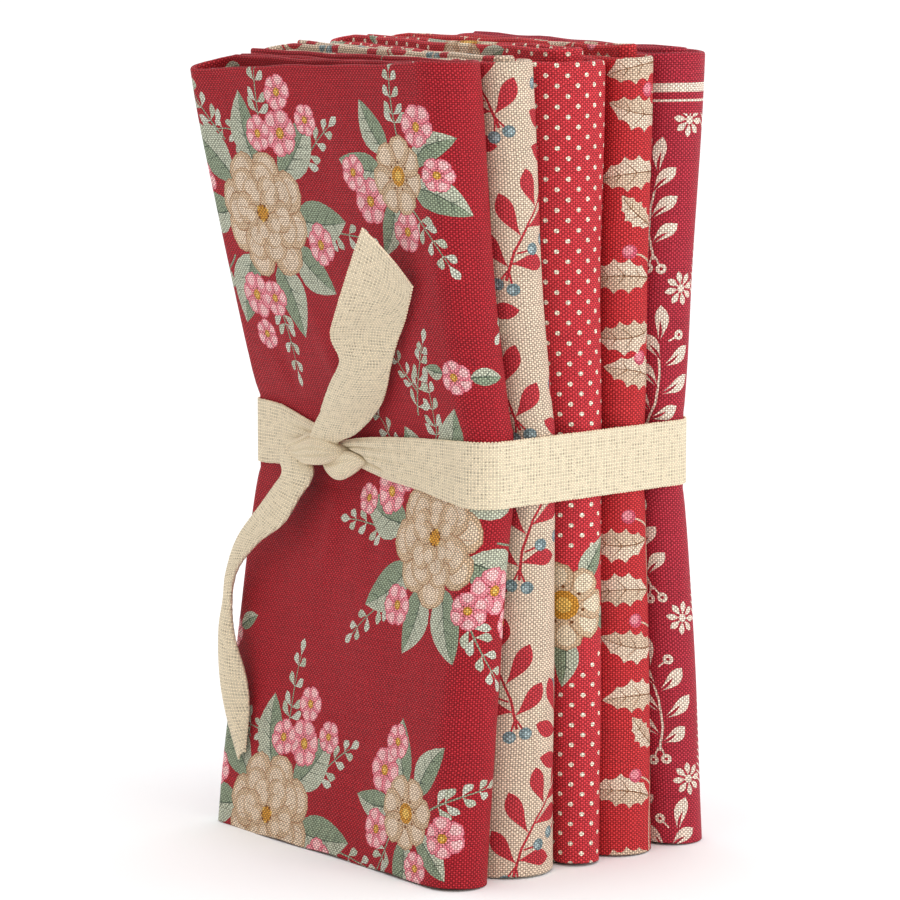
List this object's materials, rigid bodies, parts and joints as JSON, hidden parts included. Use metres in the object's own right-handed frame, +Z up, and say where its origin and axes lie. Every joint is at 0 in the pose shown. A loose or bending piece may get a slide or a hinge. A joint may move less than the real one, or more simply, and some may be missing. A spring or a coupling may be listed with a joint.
{
  "type": "fat quarter bundle",
  "caption": "Stack of folded quilting cottons standing on end, tied round the waist with a knotted cotton tape whose two free ends show.",
  "frame": {"origin": "centre of the bounding box of the whole bundle, on the surface that it stands on", "axes": "+Z up along the standing height, +X towards the spines (the broad outer folds), -Y towards the wide face that carries the knot"},
  "size_m": [0.1278, 0.129, 0.253],
  "materials": {
    "rose_cotton": "matt plain weave, deep red with printed roses",
    "sprig_cotton": "matt plain weave, beige with printed red sprigs",
    "dot_cotton": "matt plain weave, bright red with cream pin dots",
    "leaf_cotton": "matt plain weave, red with printed beige leaves",
    "vine_cotton": "matt plain weave, crimson with printed off-white sprigs",
    "natural_tape": "coarse natural cotton tape, matt"
  },
  "bodies": {
    "root": {"quarter_rose": "rose_cotton", "quarter_sprig": "sprig_cotton", "quarter_dot": "dot_cotton", "quarter_leaf": "leaf_cotton", "quarter_vine": "vine_cotton", "tie_tape": "natural_tape"}
  },
  "joints": []
}
